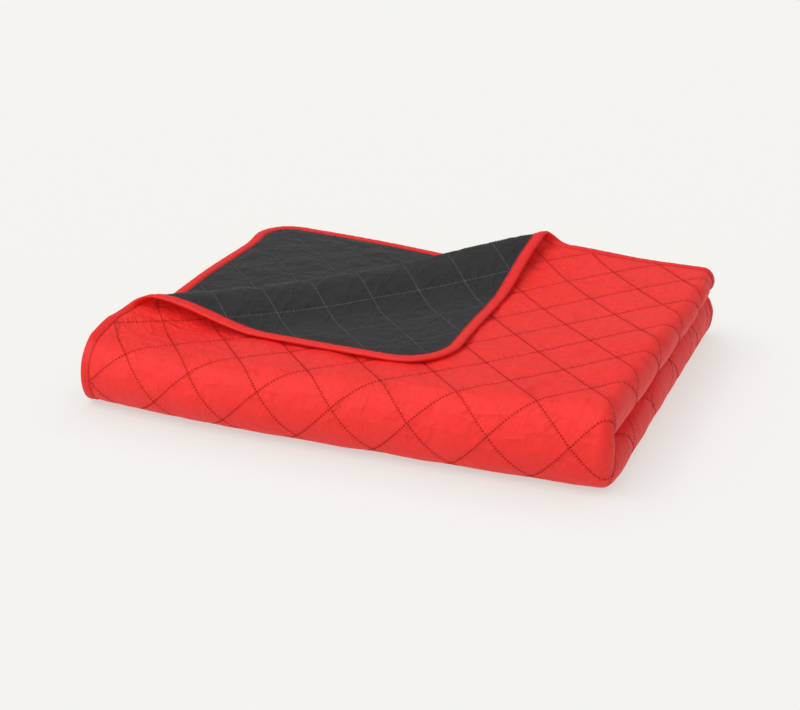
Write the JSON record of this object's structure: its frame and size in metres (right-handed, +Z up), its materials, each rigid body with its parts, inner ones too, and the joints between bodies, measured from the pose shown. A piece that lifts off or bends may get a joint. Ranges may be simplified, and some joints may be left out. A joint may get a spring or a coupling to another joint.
{
  "type": "folded quilted bedspread",
  "caption": "Two-coloured quilted bedspread with a bound edge, folded in quarters, one free corner turned over.",
  "frame": {"origin": "centre of the bounding box, at the surface the folded bedspread lies on", "axes": "+X along the front fold, from the free corners to the side fold; -Y towards the front fold; +Z up"},
  "size_m": [0.925, 0.8044, 0.1733],
  "materials": {
    "face_cloth": "soft sheen microfibre, red",
    "reverse_cloth": "soft sheen microfibre, charcoal",
    "binding_tape": "soft sheen microfibre, red"
  },
  "bodies": {
    "root": {"face_panel": "face_cloth", "reverse_panel": "reverse_cloth", "binding": "binding_tape"}
  },
  "joints": []
}
